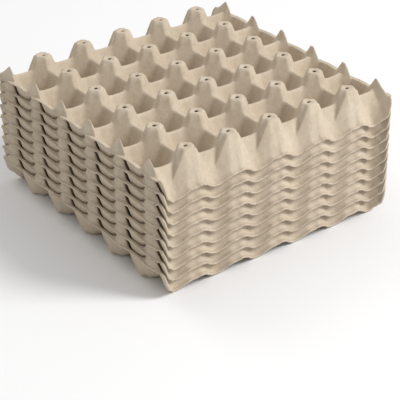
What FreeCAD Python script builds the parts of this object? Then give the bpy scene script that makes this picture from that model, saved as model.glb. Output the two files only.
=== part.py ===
"""A stack of moulded pulp egg trays, nested in one another.

Each tray is one sheet of pulp pressed over a mould: rows of cups that open
upwards, hollow posts with level pads between them, low saddles from post to
post, tall sloping skirts with a wavy lip on the two long sides, and a high
narrow flange on the two ends.  All trays come from one mould, so they nest at
one pitch and touch along the steep walls of the end cups.

Frame: +X runs along the row of cups, +Z is up, and the origin is on the
ground under the middle of the stack.  Lengths are in millimetres.
"""
import FreeCAD, Part
import math
import os

V = FreeCAD.Vector

# name: (value, what it is)
SIZES = {
    "tray_count":      (9, "trays in the stack"),
    "cups_along":      (6, "cups in a row along X"),
    "cups_across":     (5, "cups in a row along Y"),
    "cup_pitch":       (50.0, "from cup to cup, both ways"),
    "tray_rise":       (46.0, "from the underside of a cup to the top of a pad"),
    "wall":            (2.0, "thickness of the pulp"),
    "nest_pitch":      (12.4, "rise from one nested tray to the next"),
    "nest_clearance":  (0.3, "gap left where nested trays seat"),
    "floor_reach":     (15.0, "middle of a cup to a corner of its floor"),
    "pad_reach":       (9.5, "middle of a post to a corner of its pad"),
    "saddle_drop":     (14.0, "pad down to the saddle between two posts"),
    "end_inset":       (8.5, "outer line of posts in to the end rim"),
    "end_drop":        (15.0, "pad down to the flange at the ends"),
    "end_flat":        (20.0, "straight length of end rim beside each cup"),
    "end_flange":      (4.5, "width of the flange at the ends"),
    "fin_inset":       (2.0, "end rim in to the tip of a cut-off post"),
    "fin_drop":        (1.0, "pad down to the tip of a cut-off post"),
    "skirt_at_post":   (18.0, "edge line out to the skirt's foot at a post"),
    "skirt_at_cup":    (12.5, "edge line out to the skirt's foot at a cup"),
    "lip_width":       (4.0, "width of the lip along the skirt"),
    "lip_high":        (12.5, "underside up to the lip at a post"),
    "lip_low":         (2.5, "underside up to the lip at a cup"),
    "corner_reach":    (13.5, "edge line out to where the end flange turns down"),
    "corner_foot":     (5.5, "end rim in to the foot of the corner"),
    "corner_foot_out": (19.5, "edge line out to the foot of the corner"),
    "corner_lip":      (11.0, "underside up to the lip at the corner"),
}

doc = FreeCAD.newDocument("egg_tray_stack")
sheet = doc.addObject("Spreadsheet::Sheet", "dims")
for row, (name, (value, meaning)) in enumerate(SIZES.items(), start=1):
    sheet.set("A%d" % row, meaning)
    sheet.set("B%d" % row, str(value))
    sheet.setAlias("B%d" % row, name)
doc.recompute()


def size(name):
    """The value of one cell of the sheet."""
    return float(sheet.get(name))


COLUMNS = int(size("cups_along"))
ROWS = int(size("cups_across"))
PITCH = size("cup_pitch")
RISE = size("tray_rise")
WALL = size("wall")
END = COLUMNS * PITCH / 2 - size("end_inset")       # X of the end rim
EDGE = ROWS * PITCH / 2                             # Y of the edge line
RIM = RISE - size("end_drop")                       # height of the end flange


def seat_run():
    """How far an end wall leans out from the floor to the rim.

    Nested trays meet here: one wall and the clearance, measured square to
    the wall, fill the nesting pitch.
    """
    lean = math.asin((WALL + size("nest_clearance")) / size("nest_pitch"))
    return (RIM - WALL) * math.tan(lean)


# Points of the tray's upper surface.  Posts are counted 0..COLUMNS and
# 0..ROWS, cups 0..COLUMNS-1 and 0..ROWS-1.

def post_x(i):
    return (i - COLUMNS / 2) * PITCH


def post_y(j):
    return (j - ROWS / 2) * PITCH


def at_end(i):
    return i in (0, COLUMNS)


def fin_tip(i, j):
    """Top of a post that the end of the tray cuts off."""
    side = math.copysign(1, post_x(i))
    return V(side * (END - size("fin_inset")), post_y(j), RISE - size("fin_drop"))


def pad_corner(i, j, dx, dy):
    if at_end(i):
        return fin_tip(i, j)
    reach = size("pad_reach")
    return V(post_x(i) + dx * reach, post_y(j) + dy * reach, RISE)


def floor_corner(i, j, dx, dy):
    """Corner of a cup's floor that points towards the saddle (dx, dy)."""
    reach = size("floor_reach")
    x, y = post_x(i + 0.5), post_y(j + 0.5)
    if dx and at_end(i + (dx > 0)):
        return V(dx * (END - seat_run()), y, WALL)
    return V(x + dx * reach, y + dy * reach, WALL)


def saddle(i, j):
    """Lowest point of the ridge at a half-way grid place."""
    return V(post_x(i), post_y(j), RISE - size("saddle_drop"))


def end_rim(i, j, along):
    """Point of the end rim beside a cup, to one side of its middle."""
    side = math.copysign(1, post_x(i))
    return V(side * END, post_y(j + 0.5) + along * size("end_flat") / 2, RIM)


def skirt_foot(i, side):
    """Foot of the skirt at a post (whole i) or beside a cup (half i)."""
    at_post = i == int(i)
    out = size("skirt_at_post" if at_post else "skirt_at_cup")
    height = size("lip_high" if at_post else "lip_low")
    return V(post_x(i), side * (EDGE + out), height)


def corner_shoulder(end, side):
    return V(end * END, side * (EDGE + size("corner_reach")), RIM)


def corner_foot(end, side):
    return V(end * (END - size("corner_foot")),
             side * (EDGE + size("corner_foot_out")), size("corner_lip"))


# Faces of the upper surface, as triangles of points.

def cup_faces(i, j):
    """Floor, four walls towards the posts and the slopes up to the saddles."""
    east, north, west, south = (floor_corner(i, j, dx, dy)
                                for dx, dy in ((1, 0), (0, 1), (-1, 0), (0, -1)))
    yield east, north, west
    yield east, west, south
    for dx in (-1, 1):
        for dy in (-1, 1):
            pi, pj = i + (dx > 0), j + (dy > 0)
            to_x, to_y = floor_corner(i, j, dx, 0), floor_corner(i, j, 0, dy)
            pad_x, pad_y = pad_corner(pi, pj, -dx, 0), pad_corner(pi, pj, 0, -dy)
            yield to_x, to_y, pad_y
            yield to_y, saddle(i + 0.5, pj), pad_x
            if at_end(pi):
                yield to_x, end_rim(pi, j, dy), pad_y
            else:
                yield to_y, pad_x, pad_y
                yield to_x, saddle(pi, j + 0.5), pad_y
        if at_end(i + (dx > 0)):
            side = i + (dx > 0)
            yield floor_corner(i, j, dx, 0), end_rim(side, j, -1), end_rim(side, j, 1)


def pad_faces(i, j):
    east, north, west, south = (pad_corner(i, j, dx, dy)
                                for dx, dy in ((1, 0), (0, 1), (-1, 0), (0, -1)))
    yield east, north, west
    yield east, west, south


def skirt_faces(i, side):
    """Both flanks of the buttress that runs down from a post of the edge."""
    j = 0 if side < 0 else ROWS
    outer, foot = pad_corner(i, j, 0, side), skirt_foot(i, side)
    for dx in (-1, 1):
        inner, dip = pad_corner(i, j, dx, 0), saddle(i + dx / 2, j)
        valley = skirt_foot(i + dx / 2, side)
        yield outer, inner, valley
        yield inner, dip, valley
        yield outer, valley, foot


def corner_faces(end, side):
    i, j = (0 if end < 0 else COLUMNS), (0 if side < 0 else ROWS)
    tip, dip = fin_tip(i, j), saddle(i - end / 2, j)
    valley = skirt_foot(i - end / 2, side)
    foot, shoulder = corner_foot(end, side), corner_shoulder(end, side)
    yield tip, dip, valley
    yield tip, valley, foot
    yield tip, foot, shoulder


def rim_points():
    """The rim all the way round, as pairs: (edge of the sheet's body, lip).

    A lip of None means that the place shares the lip of its neighbours.
    """
    lip, flange = size("lip_width"), size("end_flange")

    def end_points(i, rows):
        out = V(math.copysign(flange, post_x(i)), 0, 0)
        pairs = []
        for j in rows:
            tip = fin_tip(i, j)
            pairs.append((tip, V(math.copysign(END, tip.x), tip.y, RIM) + out))
            step = rows[1] - rows[0]
            if j != rows[-1]:
                cup = min(j, j + step)
                pairs += [(end_rim(i, cup, -step), None), (end_rim(i, cup, step), None)]
        return pairs

    def corner_points(end, side):
        shoulder, foot = corner_shoulder(end, side), corner_foot(end, side)
        return [(shoulder, shoulder + V(end * flange, side * lip / 4, 0)),
                (foot, foot + V(end * lip * 0.8, side * lip * 0.9, 0))]

    def side_points(side, places):
        return [(skirt_foot(i, side), skirt_foot(i, side) + V(0, side * lip, 0))
                for i in places]

    halves = [k / 2 for k in range(1, 2 * COLUMNS)]
    rows = list(range(ROWS + 1))
    return (end_points(COLUMNS, rows) + corner_points(1, 1)
            + side_points(1, halves[::-1]) + corner_points(-1, 1)[::-1]
            + end_points(0, rows[::-1]) + corner_points(-1, -1)
            + side_points(-1, halves) + corner_points(1, -1)[::-1])


def lip_faces(pairs):
    """Strip of lip between the rim of the body and the outer edge."""
    count = len(pairs)
    for k, (inner, outer) in enumerate(pairs):
        following, its_outer = pairs[(k + 1) % count]
        if outer is None:
            outer = pairs[k - 1][1] or pairs[k - 2][1]
            if its_outer is None:
                its_outer = pairs[(k + 2) % count][1]
                yield inner, following, its_outer
                yield inner, its_outer, outer
            else:
                yield inner, following, its_outer
        elif its_outer is None:
            yield inner, following, outer
        else:
            low, high = sorted((0, 1), key=lambda n: (inner, following)[n].z)
            if low == 0:
                yield inner, following, its_outer
                yield inner, its_outer, outer
            else:
                yield inner, following, outer
                yield following, its_outer, outer


def key(point):
    return tuple(round(c, 4) for c in point)


def facing_up(triangle):
    """The same triangle, turned so that its normal looks out of the pulp."""
    a, b, c = triangle
    return (a, b, c) if (b - a).cross(c - a).z > 0 else (a, c, b)


def pressed_through(point, normals):
    """Where the point lies on the underside, one wall below all its faces.

    Level faces stay level and exactly one wall thick; the others are met as
    closely as their number allows, by least squares.
    """
    level = any(n.z > 0.9999 for n in normals)
    rows = [(n.x, n.y, n.z) for n in normals if n.z <= 0.9999]
    drop = -WALL if level else None
    known = [(-WALL - (n[2] * drop if level else 0)) for n in rows]
    m = FreeCAD.Matrix()
    sums = [[sum(a[p] * a[q] for a in rows) for q in range(3)] for p in range(3)]
    right = V(*(sum(a[p] * b for a, b in zip(rows, known)) for p in range(3)))
    if level:
        for p in range(2):
            sums[p][2] = sums[2][p] = 0.0
        sums[2][2], right.z = 1.0, drop
    (m.A11, m.A12, m.A13), (m.A21, m.A22, m.A23), (m.A31, m.A32, m.A33) = sums
    return point + m.inverse().multVec(right)


def moulded_tray():
    """One tray as a closed solid: upper surface, underside and lip edge."""
    body = []
    for i in range(COLUMNS):
        for j in range(ROWS):
            body += cup_faces(i, j)
    for i in range(1, COLUMNS):
        for j in range(ROWS + 1):
            body += pad_faces(i, j)
        for side in (-1, 1):
            body += skirt_faces(i, side)
    for end in (-1, 1):
        for side in (-1, 1):
            body += corner_faces(end, side)
    rim = rim_points()
    upper = [facing_up(t) for t in body + list(lip_faces(rim))]

    normals = {}
    for a, b, c in upper:
        n = (b - a).cross(c - a).normalize()
        for point in (a, b, c):
            normals.setdefault(key(point), {})[key(n)] = n
    lip_edge = [outer for _, outer in rim if outer]
    under = {key(p): p - V(0, 0, WALL) for p in lip_edge}
    for a in (p for t in upper for p in t):
        if key(a) not in under:
            under[key(a)] = pressed_through(a, normals[key(a)].values())

    triangles = list(upper)
    triangles += [tuple(under[key(p)] for p in reversed(t)) for t in upper]
    for a, b in zip(lip_edge, lip_edge[1:] + lip_edge[:1]):
        triangles += [(a, under[key(a)], under[key(b)]), (a, under[key(b)], b)]
    faces = [Part.Face(Part.makePolygon([*t, t[0]])) for t in triangles]
    shell = Part.makeShell(faces)
    shell.sewShape()
    solid = Part.makeSolid(shell)
    if solid.Volume < 0:
        solid.reverse()
    return solid.removeSplitter()


tray_shape = moulded_tray()
trays = []
for level in range(int(size("tray_count"))):
    tray = doc.addObject("Part::Feature", "egg_tray_%d" % (level + 1))
    tray.Label = tray.Name
    tray.Shape = tray_shape
    tray.setExpression("Placement.Base.z", "dims.nest_pitch * %d" % level)
    trays.append(tray)
doc.recompute()

for item in doc.Objects:
    if {"Invalid", "Error"} & set(item.State):
        raise RuntimeError("%s did not build" % item.Label)
for tray in trays:
    if tray.Shape.isNull() or not tray.Shape.isValid() or len(tray.Shape.Solids) != 1:
        raise RuntimeError("%s is not one sound solid" % tray.Label)

os.makedirs("parts", exist_ok=True)
for tray in trays:
    tray.Shape.exportStep("parts/%s.step" % tray.Label)
top = trays[-1].Shape.BoundBox
print("%d trays, %.1f x %.1f x %.1f mm, %.1f cm3 of pulp each, %d faces each"
      % (len(trays), top.XLength, top.YLength, top.ZMax,
         tray_shape.Volume / 1000, len(tray_shape.Faces)))
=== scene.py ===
# %% [markdown]
# # A stack of moulded pulp egg trays
#
# Each tray is one thin sheet of wet paper pulp that was sucked onto a mesh
# mould and dried.  Everything about it is soft: rounded ridges, a fibrous
# skin, ragged edges.  This lesson builds that sheet once as a formula, a
# height for every place in plan, and then lays it down nine times with small
# differences, because no two pulp trays dry alike.

# %% Load the frame
import bpy
import math
import numpy as np
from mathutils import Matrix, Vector


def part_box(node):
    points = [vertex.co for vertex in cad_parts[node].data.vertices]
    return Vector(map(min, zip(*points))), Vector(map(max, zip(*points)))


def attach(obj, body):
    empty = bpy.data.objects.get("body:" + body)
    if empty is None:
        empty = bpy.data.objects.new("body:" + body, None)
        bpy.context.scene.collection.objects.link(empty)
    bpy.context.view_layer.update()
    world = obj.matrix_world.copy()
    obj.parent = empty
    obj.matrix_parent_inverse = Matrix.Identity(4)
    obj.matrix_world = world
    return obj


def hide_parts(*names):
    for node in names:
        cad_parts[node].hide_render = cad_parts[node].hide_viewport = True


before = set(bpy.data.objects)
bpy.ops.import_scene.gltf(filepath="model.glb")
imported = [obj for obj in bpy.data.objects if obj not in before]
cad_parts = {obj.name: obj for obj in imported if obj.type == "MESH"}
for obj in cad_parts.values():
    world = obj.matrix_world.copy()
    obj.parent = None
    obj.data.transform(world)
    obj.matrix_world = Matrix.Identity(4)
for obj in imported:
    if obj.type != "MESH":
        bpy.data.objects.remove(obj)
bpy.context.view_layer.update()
nodes = sorted(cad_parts, key=lambda name: int(name.rsplit("_", 1)[1]))
print("trays:", nodes)

# %% [markdown]
# ## Sizes
#
# The overall sizes are read from the frame, so the looks follow the model.
# The rest are the forms of the mould, in millimetres, because the formulas
# below are easier to read in the units in which the tray was designed.

# %% Sizes of one tray, in millimetres
MM = 0.001
low, high = (np.array(corner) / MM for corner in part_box(nodes[0]))
END_OUT, SIDE_OUT, RISE = high                  # half length, half width, height
COLUMNS, ROWS = 6, 5                            # cups along X and along Y
PITCH = 50.0
HALF = PITCH / 2
EDGE = ROWS * HALF                              # Y of the outer line of posts
WALL = 2.0
FLOOR_REACH, PAD_REACH = 15.0, 9.0
PAD = 7.6                                       # radius of the round pad
SADDLE_DROP = 14.0
RIM_X, RIM_Z = END_OUT - 4.5, RISE - 15.0       # rim of the two ends
FLOOR_END = RIM_X - 5.46                        # foot of the end wall
FIN_X, FIN_Z = RIM_X - 1.0, RISE - 1.0          # tip of a cut-off post
LIP = 4.0
LIP_FALL = 0.12                                 # slope of the lips and the flange
SHEET = 1.7                                     # thickness that shows at an edge
print("one tray: %.0f x %.0f x %.0f mm" % (2 * END_OUT, 2 * SIDE_OUT, RISE))

# %% [markdown]
# ## The sheet as a formula
#
# A mould has to let go of the sheet straight upwards, so no wall may
# overhang.  That is why one height for each place in plan is enough to
# describe the whole tray.  Planes make the walls, and a smooth maximum or
# minimum rounds the line where two of them meet: the larger `soft`, the
# rounder the corner.

# %% Smooth joins and the ridge between two posts
def smooth_max(a, b, soft):
    gap = np.clip(soft - np.abs(a - b), 0, None) / soft
    return np.maximum(a, b) + gap * gap * soft / 4


def smooth_min(a, b, soft):
    return -smooth_max(-a, -b, soft)


CREST, CREST_SLOPE = 2.0, 3.0                   # radius of a crest, fall beside it
MEET, MEET_FALL = 0.95, 0.684                   # where crest and wall meet, in radii
NO_LIMIT = 1e6


def ridge_height(along):
    """Height of a ridge's crest, by distance from its saddle.

    It runs nearly level and only climbs close to a post, like a U.
    """
    reach = HALF - PAD_REACH
    climb = np.clip(np.abs(along) / reach, 0, 1) ** 5
    return RISE - SADDLE_DROP + SADDLE_DROP * climb


def fin_ridge_height(along):
    """The same on the short ridge that ends in a cut-off post."""
    reach = FIN_X - (COLUMNS - 1) * HALF
    drop = SADDLE_DROP - (RISE - FIN_Z)
    return RISE - SADDLE_DROP + drop * np.clip(along / reach, 0, 1) ** 4


def crest_cap(height, across):
    """A round crest of radius CREST, open to the sides where the walls go on."""
    inside = across < CREST * MEET
    fall = CREST - np.sqrt(np.clip(CREST ** 2 - across ** 2, 0, None))
    return np.where(inside, height - fall, NO_LIMIT)


def crest_wall(height, across):
    """The wall that meets that crest without a step, falling away from it."""
    lift = CREST * (CREST_SLOPE * MEET - MEET_FALL)
    return height + lift - CREST_SLOPE * across


# %% [markdown]
# ## Cups and posts
#
# A cup is the space inside eight leaning planes: four that look diagonally
# at the posts, and one under each saddle.  The highest plane wins, and the
# fold between planes is softened.  At the two ends the tray is cut just
# inside the outer line of posts, so the last cups have a steep end wall and
# the posts there become thin fins.

# %% Height of the cups and posts
FIN_FALL_X, FIN_FALL_Y = 1.97, 1.45             # slopes of the walls beside a fin
POST_FALL = 3.0                                 # slope of a post's four faces
POST_FOOT = 1.0                                 # height of their foot over a saddle
DISH, DISH_REACH = 0.9, 4.2                     # hollow round the hole in a pad
PAD_FALL, PAD_DEPTH = 2.8, 1.8                  # step round a pad
FIN_ROUND, FIN_ROUND_FALL = 8.5, 2.4            # how a fin's tip rounds off sideways
FIN_TIP, FIN_FACE = 0.8, 4.5                    # height of the tip, slope of its face
BEAD_IN, BEAD_WIDTH = 1.2, 1.1                  # rolled edge of the end flange
SAG = 0.9                                       # how much lower the flange is at a fin


def to_post_line(value, count):
    """Distance from the nearest line of posts."""
    place = value / PITCH + count / 2
    return np.abs(place - np.round(place)) * PITCH


def cup_height(x, y):
    dx, dy = to_post_line(x, COLUMNS), to_post_line(y, ROWS)
    ax, ay = HALF - dx, HALF - dy               # from the middle of the cup
    outer = np.abs(x) > (COLUMNS - 1) * HALF    # beyond the last cups' middle
    along = np.abs(x) - (COLUMNS - 1) * HALF

    climb = (RISE - WALL) / (PITCH - PAD_REACH - FLOOR_REACH)
    diagonal = WALL + climb * (ax + ay - FLOOR_REACH)
    reach_out = FLOOR_END - (COLUMNS - 1) * HALF
    fin_side = WALL + FIN_FALL_X * (along - reach_out) + FIN_FALL_Y * ay
    diagonal = np.where(outer, fin_side, diagonal)

    end_climb = (RIM_Z - WALL) / (RIM_X - FLOOR_END)
    end_wall = WALL + end_climb * (along - reach_out)
    under_x = np.where(outer, end_wall, crest_wall(ridge_height(ay), dx))
    ridge_y = np.where(outer, fin_ridge_height(along), ridge_height(ax))
    under_y = crest_wall(ridge_y, dy)

    cup = smooth_max(diagonal, smooth_max(under_x, under_y, 4.0), 5.0)
    cup = smooth_max(cup, WALL + 0 * cup, 6.0)
    cap_x = np.where(outer, NO_LIMIT, crest_cap(ridge_height(ay), dx))
    cup = np.minimum(cup, cap_x)
    cup = np.minimum(cup, crest_cap(ridge_y, dy))
    cup = smooth_min(cup, post_side(dx, dy), 1.5)
    cup = smooth_min(cup, post_top(np.hypot(dx, dy)), 1.2)
    return np.where(outer, smooth_min(cup, end_flange(x, dy), 2.0), cup)


def post_side(dx, dy):
    """The faces that cut off a post's four corners, above the saddles."""
    side = RISE - POST_FALL * (np.maximum(dx, dy) - PAD_REACH)
    return smooth_max(side, RISE - SADDLE_DROP + POST_FOOT + 0 * side, 2.0)


def post_top(r):
    """A round pad with a raised rim, dished towards its hole."""
    dish = RISE - DISH * np.exp(-(r / DISH_REACH) ** 2)
    step = smooth_max(RISE + PAD_FALL * (PAD - r), RISE - PAD_DEPTH + 0 * r, 1.0)
    return smooth_min(dish, step, 1.0)


def end_flange(x, aside):
    """The flange round the end, and the outer face of each fin above it."""
    over = np.abs(x) - FIN_X
    round_off = FIN_ROUND_FALL * (np.hypot(FIN_ROUND, aside) - FIN_ROUND)
    fin = FIN_Z + FIN_TIP - FIN_FACE * np.clip(over, 0, None) - round_off
    beside = 0.5 - 0.5 * np.cos(aside / HALF * np.pi)       # 0 at a fin, 1 at a cup
    bead = np.exp(-((np.abs(x) - END_OUT + BEAD_IN) / BEAD_WIDTH) ** 2) * beside
    flange = RIM_Z - SAG * (1 - beside - bead) - LIP_FALL * over
    return smooth_max(fin, flange, 1.5)


# %% [markdown]
# ## Skirts
#
# On the long sides the sheet turns over the outer ridge and falls to a lip.
# In front of each post it bulges into a buttress whose foot stands further
# out and higher than the hollows beside the cups: that is what makes the
# wavy lines down the side of the stack.  Towards a corner the lip sweeps up
# to the level of the end flange.

# %% Foot of the skirt and height of its face
def smooth_step(value, start, stop):
    f = np.clip((value - start) / (stop - start), 0, 1)
    return f * f * (3 - 2 * f)


# Height of the lip from its hollow (0) to its arch (1), by distance from a post.
WAVE_AT = (-25, -20, -14, -9, -3, 0, 2, 6, 12, 18, 22, 25)
WAVE = (0.0, 0.10, 0.45, 0.80, 0.84, 0.88, 1.0, 1.0, 0.72, 0.25, 0.05, 0.0)


def from_post(x):
    """Signed distance from the nearest post."""
    place = x / PITCH + COLUMNS / 2
    return (place - np.round(place)) * PITCH


CORNER = (COLUMNS - 1) * HALF                   # X where the corners begin
FOOT_IN, FOOT_OUT = 12.5, 18.0                  # reach of the foot, hollow and arch
FOOT_LOW, FOOT_HIGH = 2.5, 12.5                 # its height there
CORNER_OUT, CORNER_BACK = 7.0, 6.5              # how far it swings out, then back in
CORNER_UP = 8.5                                 # first, gentle part of its climb
BUTTRESS_FALL, FLANK_FALL = 3.2, 2.1            # slopes of a buttress
FRONT_REACH = 6.0                               # half the width of its flat front


def skirt_wave(x):
    """1 in front of a post, 0 beside a cup and at the corners."""
    wave = np.interp(from_post(x), WAVE_AT, WAVE)
    return np.where(np.abs(x) > CORNER, 0, wave)


def skirt_foot(x):
    """Distance out from the edge line, and height, of the skirt's foot."""
    wave, at = skirt_wave(x), np.abs(x)
    out = FOOT_IN + (FOOT_OUT - FOOT_IN) * wave
    out = out + CORNER_OUT * smooth_step(at, CORNER, CORNER + 12)
    out = out - CORNER_BACK * smooth_step(at, END_OUT - 7.5, END_OUT)
    up = FOOT_LOW + (FOOT_HIGH - FOOT_LOW) * wave
    up = up + CORNER_UP * smooth_step(at, CORNER, CORNER + 11)
    steep = RIM_Z - FOOT_LOW - CORNER_UP
    up = up + steep * smooth_step(at, CORNER + 10, END_OUT - 3.5)
    return out, up


def buttress(x, out):
    """A flat front with two leaning flanks, in front of a post."""
    flank = np.clip(to_post_line(x, COLUMNS) - FRONT_REACH, 0, None)
    front = RISE - BUTTRESS_FALL * np.clip(out - PAD + 0.6, 0, None)
    down = out / FOOT_IN
    valley = (RISE - SADDLE_DROP) * (1 - down) + FOOT_LOW * down
    return smooth_max(front - FLANK_FALL * flank, valley, 3.0)


def skirt_height(x, out):
    """Height of the skirt's face at a distance out from the edge line."""
    foot, up = skirt_foot(x)
    top = cup_height(x, EDGE + 0 * x)
    f = np.clip(out / foot, 0, 1)
    plain = top - (top - up) * f
    inside = np.minimum(out, foot)
    face = buttress(x, inside) - (buttress(x, foot) - up) * f ** 2
    face = face + (top - buttress(x, 0 * out)) * (1 - smooth_step(out, 0, 4))
    face = smooth_min(face, post_top(np.hypot(from_post(x), out)), 1.2)
    face = np.where(np.abs(x) > CORNER, plain, face)
    past = np.clip(out - foot, 0, None)
    return face - LIP_FALL * past


# %% [markdown]
# ## A grid that is fine where the shape is
#
# A plain grid would waste faces on flat floors and starve the crests.  The
# grid lines are therefore packed close beside each line of posts, where the
# crests, pads and holes are, and open out between them.  Close to each hole
# the square rings of the grid are pulled into circles, so that the faces
# inside can simply be left out and the hole is round.

# %% Grid lines and the mesh of one sheet
HOLE = 2.1                                      # radius of the hole in a pad
NEAR = {"fine": (1.05, 2.1, 3.2, 4.6, 6.0, 7.1, 7.8, 8.5, 9.6),
        "plain": (2.1, 4.0, 6.0, 8.0, 10.0)}
BETWEEN = {"fine": (8, 8), "plain": (7, 2)}     # along X and along Y
DOWN = {"fine": 24, "plain": 16}                # down a skirt
END_WALL = {"fine": 8, "plain": 5}              # up an end wall
END_FLANGE = {"fine": 10, "plain": 8}           # across an end flange


def grid_lines(count, detail):
    """Places of the grid lines across `count` cups, both edges included."""
    near = np.array(NEAR[detail])
    between = BETWEEN[detail][count == ROWS]
    middle = np.linspace(near[-1], PITCH - near[-1], 2 * between + 1)
    one = np.concatenate([[0], near, middle[1:-1], PITCH - near[::-1]])
    lines = np.concatenate([one + PITCH * k for k in range(count)])
    return np.append(lines, PITCH * count) - PITCH * count / 2


def end_lines(detail):
    """Lines along X, with the last cups cut off at the end flange."""
    lines = grid_lines(COLUMNS, detail)
    lines = lines[np.abs(lines) < FLOOR_END - 1.5]
    wall = np.linspace(FLOOR_END - 0.5, FIN_X, END_WALL[detail])
    flange = np.linspace(FIN_X, END_OUT, END_FLANGE[detail])[1:]
    ends = np.concatenate([wall, flange])
    return np.concatenate([-ends[::-1], lines, ends])


def round_holes(x, y):
    """Pull the square of grid lines round each hole into a circle."""
    hole_x = np.round(x / PITCH + COLUMNS / 2) * PITCH - COLUMNS * HALF
    hole_y = np.round(y / PITCH + ROWS / 2) * PITCH - ROWS * HALF
    dx, dy = (x - hole_x) / HOLE, (y - hole_y) / HOLE
    near = (np.abs(dx) < 1.01) & (np.abs(dy) < 1.01) & (np.abs(hole_x) < RIM_X)
    new_x = hole_x + HOLE * dx * np.sqrt(np.clip(1 - dy * dy / 2, 0, 1))
    new_y = hole_y + HOLE * dy * np.sqrt(np.clip(1 - dx * dx / 2, 0, 1))
    inside = near & (np.abs(dx) < 0.99) & (np.abs(dy) < 0.99)
    return np.where(near, new_x, x), np.where(near, new_y, y), inside, near


def sheet_points(detail):
    """Plan places and heights of the sheet, as three arrays of one grid."""
    xs, ys = end_lines(detail), grid_lines(ROWS, detail)
    x, y = np.meshgrid(xs, ys, indexing="ij")
    x, y, inside, near = round_holes(x, y)
    z = cup_height(x, y)

    foot, _ = skirt_foot(xs)
    f = np.linspace(0, 1, DOWN[detail] + 1)[1:] ** 0.95
    outs = [foot * step for step in f] + [foot + LIP * g for g in (0.35, 0.7, 1.0)]
    outs = np.array(outs).T                     # one row of steps for each line
    sx = np.repeat(xs[:, None], outs.shape[1], axis=1)
    sz = skirt_height(sx, outs)
    x = np.concatenate([sx[:, ::-1], x, sx], axis=1)
    z = np.concatenate([sz[:, ::-1], z, sz], axis=1)
    y = np.concatenate([-EDGE - outs[:, ::-1], y, EDGE + outs], axis=1)
    pad = np.zeros(outs.shape, bool)
    inside = np.concatenate([pad, inside, pad], axis=1)
    return x, y, z, inside


def grid_faces(shape, skip):
    """Quads between neighbours of a grid, without those that touch `skip`."""
    index = np.arange(shape[0] * shape[1]).reshape(shape)
    corners = [index[:-1, :-1], index[1:, :-1], index[1:, 1:], index[:-1, 1:]]
    quads = np.stack(corners, axis=-1).reshape(-1, 4)
    bad = skip.reshape(-1)[quads].any(axis=1)
    return quads[~bad]


# %% [markdown]
# ## Small differences from tray to tray
#
# Pulp shrinks and warps as it dries.  A few long waves bend each sheet by
# well under a millimetre, and the edges are ragged.  The random numbers come
# from one seed, so the stack looks the same every time.

# %% Warp and ragged edges
rng = np.random.default_rng(41)
WARP, RAGGED_UP, RAGGED_IN = 0.45, 0.35, 0.30   # strengths, in millimetres


def long_waves(x, y, strength):
    total = 0 * x
    for _ in range(5):
        angle, length = rng.uniform(0, np.pi), rng.uniform(60, 170)
        phase = rng.uniform(0, 6.3)
        along = x * np.cos(angle) + y * np.sin(angle)
        total += np.sin(along / length * 2 * np.pi + phase)
    return strength * total / 2


def ragged(x, y, strength):
    total = 0 * x
    for length in (11.0, 4.7, 2.3):
        a, b = rng.uniform(0, 6.3, 2)
        total += np.sin(x / length * 6.3 + a) * np.sin(y / length * 6.3 + b)
    return strength * total


def tray_mesh(name, detail):
    x, y, z, inside = sheet_points(detail)
    edge = np.zeros(x.shape)
    edge[:, (0, -1)] = 1.0
    edge[(0, -1), :] = 1.0
    dz = long_waves(x, y, WARP) * (0.2 + 0.8 * np.clip(z / RISE, 0, 1))
    dz += edge * ragged(x, y, RAGGED_UP)
    inwards = edge * np.abs(ragged(x, y, RAGGED_IN))
    y = y - np.sign(y) * inwards * (np.abs(y) > EDGE)
    x = x - np.sign(x) * inwards * (np.abs(x) > RIM_X)
    points = np.stack([x, y, np.minimum(z + dz, RISE)], axis=-1).reshape(-1, 3) * MM
    faces = grid_faces(x.shape, inside)
    mesh = bpy.data.meshes.new(name)
    mesh.from_pydata(points.tolist(), [], faces.tolist())
    mesh.update()
    mesh.shade_smooth()
    return mesh


# %% [markdown]
# ## Pulp
#
# Recycled paper pulp is a warm grey.  Its skin is matted fibre: soft clouds
# of lighter and darker pulp, small dark specks, and a fine orange-peel bump.
# Two shader groups hold those effects, one for colour and one for relief, so
# each tray's material can take them with its own values.

# %% Shader groups
def new_group(name, inputs, outputs):
    group = bpy.data.node_groups.new(name, "ShaderNodeTree")
    for label, kind, value in inputs:
        socket = group.interface.new_socket(label, in_out="INPUT", socket_type=kind)
        socket.default_value = value
    for label, kind in outputs:
        group.interface.new_socket(label, in_out="OUTPUT", socket_type=kind)
    start = group.nodes.new("NodeGroupInput")
    end = group.nodes.new("NodeGroupOutput")
    return group, start, end


def add(tree, kind, **values):
    """A node with its properties and unlinked inputs set by name."""
    node = tree.nodes.new(kind)
    for key, value in values.items():
        if key in node.inputs:
            node.inputs[key].default_value = value
        else:
            setattr(node, key, value)
    return node


def ramp(tree, source, stops):
    node = tree.nodes.new("ShaderNodeValToRGB")
    elements = node.color_ramp.elements
    while len(elements) < len(stops):
        elements.new(0.5)
    for element, (place, value) in zip(elements, stops):
        element.position = place
        element.color = (value, value, value, 1)
    tree.links.new(source, node.inputs["Fac"])
    return node.outputs["Color"]


def mix(tree, mode, factor, a, b):
    node = tree.nodes.new("ShaderNodeMix")
    node.data_type, node.blend_type = "RGBA", mode
    for place, value in ((0, factor), (6, a), (7, b)):     # the sockets for colours
        if isinstance(value, bpy.types.NodeSocket):
            tree.links.new(value, node.inputs[place])
        else:
            node.inputs[place].default_value = value
    return node.outputs[2]


SPECK = (0.62, 0.55, 0.47, 1)


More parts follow.
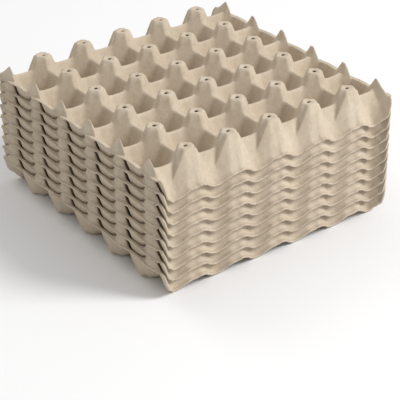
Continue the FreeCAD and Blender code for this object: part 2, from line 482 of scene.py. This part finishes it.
def pulp_colour_group():
    group, start, end = new_group(
        "pulp colour",
        [("Base", "NodeSocketColor", (0.5, 0.42, 0.32, 1)),
         ("Dark", "NodeSocketColor", (0.3, 0.23, 0.16, 1)),
         ("Clouds", "NodeSocketFloat", 0.5), ("Specks", "NodeSocketFloat", 0.5),
         ("Place", "NodeSocketVector", (0, 0, 0))],
        [("Colour", "NodeSocketColor")])
    place = start.outputs["Place"]

    def noise(scale, detail):
        node = add(group, "ShaderNodeTexNoise", Scale=scale, Detail=detail)
        group.links.new(place, node.inputs["Vector"])
        return node.outputs["Fac"]

    clouds = ramp(group, noise(38, 4), [(0.35, 0), (0.68, 1)])
    blotch = ramp(group, noise(210, 5), [(0.38, 0), (0.66, 1)])
    fleck = ramp(group, noise(1500, 2), [(0.63, 0), (0.72, 1)])
    shade = mix(group, "MIX", 0.45, clouds, blotch)
    scaled = add(group, "ShaderNodeMath", operation="MULTIPLY")
    group.links.new(shade, scaled.inputs[0])
    group.links.new(start.outputs["Clouds"], scaled.inputs[1])
    base, dark = start.outputs["Base"], start.outputs["Dark"]
    colour = mix(group, "MIX", scaled.outputs[0], base, dark)
    speck = add(group, "ShaderNodeMath", operation="MULTIPLY")
    group.links.new(fleck, speck.inputs[0])
    group.links.new(start.outputs["Specks"], speck.inputs[1])
    colour = mix(group, "MULTIPLY", speck.outputs[0], colour, SPECK)
    group.links.new(colour, end.inputs["Colour"])
    return group


def pulp_relief_group():
    group, start, end = new_group(
        "pulp relief",
        [("Fibre", "NodeSocketFloat", 0.6), ("Place", "NodeSocketVector", (0, 0, 0))],
        [("Height", "NodeSocketFloat")])
    heights = []
    for scale, detail in ((320, 4), (1100, 3), (90, 3)):
        node = add(group, "ShaderNodeTexNoise", Scale=scale, Detail=detail)
        group.links.new(start.outputs["Place"], node.inputs["Vector"])
        heights.append(node.outputs["Fac"])
    fine = mix(group, "MIX", 0.45, heights[0], heights[1])
    both = mix(group, "MIX", start.outputs["Fibre"], heights[2], fine)
    group.links.new(both, end.inputs["Height"])
    return group


pulp_colour, pulp_relief = pulp_colour_group(), pulp_relief_group()

# %% Material of a tray
BASE = (0.60, 0.515, 0.405, 1)
DARK = (0.47, 0.385, 0.285, 1)


def pulp_material(name, shift):
    material = bpy.data.materials.new(name)
    material.use_nodes = True
    tree = material.node_tree
    shader = tree.nodes["Principled BSDF"]
    shader.inputs["Roughness"].default_value = 0.93
    shader.inputs["Specular IOR Level"].default_value = 0.18
    place = add(tree, "ShaderNodeTexCoord")
    away = tuple(shift * step for step in (0.37, 0.21, 0.11))
    moved = add(tree, "ShaderNodeMapping", Location=away)
    tree.links.new(place.outputs["Object"], moved.inputs["Vector"])
    colour = add(tree, "ShaderNodeGroup", node_tree=pulp_colour)
    tint = 1 + 0.03 * math.sin(shift * 2.4)
    colour.inputs["Base"].default_value = tuple(c * tint for c in BASE[:3]) + (1,)
    colour.inputs["Dark"].default_value = DARK
    colour.inputs["Clouds"].default_value = 0.75
    colour.inputs["Specks"].default_value = 0.55
    relief = add(tree, "ShaderNodeGroup", node_tree=pulp_relief)
    relief.inputs["Fibre"].default_value = 0.6
    for group in (colour, relief):
        tree.links.new(moved.outputs["Vector"], group.inputs["Place"])
    bump = add(tree, "ShaderNodeBump", Strength=0.55, Distance=0.0012)
    tree.links.new(relief.outputs["Height"], bump.inputs["Height"])
    tree.links.new(bump.outputs["Normal"], shader.inputs["Normal"])
    tree.links.new(colour.outputs["Colour"], shader.inputs["Base Color"])
    return material


# %% [markdown]
# ## Lay the trays down
#
# A Solidify modifier gives each sheet its thickness, downwards, so the edge
# of every lip shows.  The top tray has the fine grid, because all of it is
# seen; the others show only their edges and get the plain one.

# %% Trays
def lay_tray(level, node):
    top = level == len(nodes) - 1
    name = "pulp_sheet_%d" % (level + 1)
    mesh = tray_mesh(name, "fine" if top else "plain")
    piece = bpy.data.objects.new(name, mesh)
    bpy.context.scene.collection.objects.link(piece)
    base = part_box(node)[0][2]
    for vertex in mesh.vertices:
        vertex.co.z += base
    solid = piece.modifiers.new("thickness", "SOLIDIFY")
    solid.thickness, solid.offset = SHEET * MM, -1.0
    mesh.materials.append(pulp_material("pulp_%d" % (level + 1), level + 1.0))
    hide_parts(node)
    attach(piece, "root")
    return piece


sheets = [lay_tray(level, node) for level, node in enumerate(nodes)]
print("faces:", [len(piece.data.polygons) for piece in sheets])

# %% [markdown]
# ## Room, light and camera

# %% Floor
bpy.ops.mesh.primitive_plane_add(size=60, location=(0, 0, 0))
floor = bpy.context.object
floor.name = "floor"
pale = bpy.data.materials.new("pale_floor")
pale.use_nodes = True
surface = pale.node_tree.nodes["Principled BSDF"]
surface.inputs["Base Color"].default_value = (0.88, 0.88, 0.88, 1)
surface.inputs["Roughness"].default_value = 0.9
floor.data.materials.append(pale)

# %% Light
world = bpy.data.worlds.new("room")
bpy.context.scene.world = world
world.use_nodes = True
background = world.node_tree.nodes["Background"]
background.inputs["Color"].default_value = (1.0, 1.0, 1.0, 1)
background.inputs["Strength"].default_value = 0.55


def soft_light(name, place, aim, width, power):
    data = bpy.data.lights.new(name, "AREA")
    data.shape, data.size, data.energy = "DISK", width, power
    lamp = bpy.data.objects.new(name, data)
    lamp.location = place
    beam = Vector(aim) - Vector(place)
    lamp.rotation_euler = beam.to_track_quat("-Z", "Y").to_euler()
    bpy.context.scene.collection.objects.link(lamp)


soft_light("key", (1.5, -1.8, 2.1), (0, 0, 0.1), 1.2, 75)
soft_light("back", (-0.6, 2.2, 2.0), (0, 0, 0.1), 1.6, 16)

# %% Camera
AZIMUTH, ELEVATION = math.radians(-36.94), math.radians(30.28)
PIXELS, FOCAL_PIXELS, SENSOR = 400, 1500, 36.0
CAMERA_PLACE = (-0.8251, -1.1120, 0.6558 + 0.1452)
camera_data = bpy.data.cameras.new("camera")
camera_data.sensor_width = SENSOR
camera_data.lens = FOCAL_PIXELS / PIXELS * SENSOR
camera = bpy.data.objects.new("camera", camera_data)
camera.location = CAMERA_PLACE
back = Vector((math.sin(AZIMUTH) * math.cos(ELEVATION),
               -math.cos(AZIMUTH) * math.cos(ELEVATION), math.sin(ELEVATION)))
camera.rotation_euler = back.to_track_quat("Z", "Y").to_euler()
bpy.context.scene.collection.objects.link(camera)
bpy.context.scene.camera = camera
bpy.context.scene.view_settings.view_transform = "Standard"
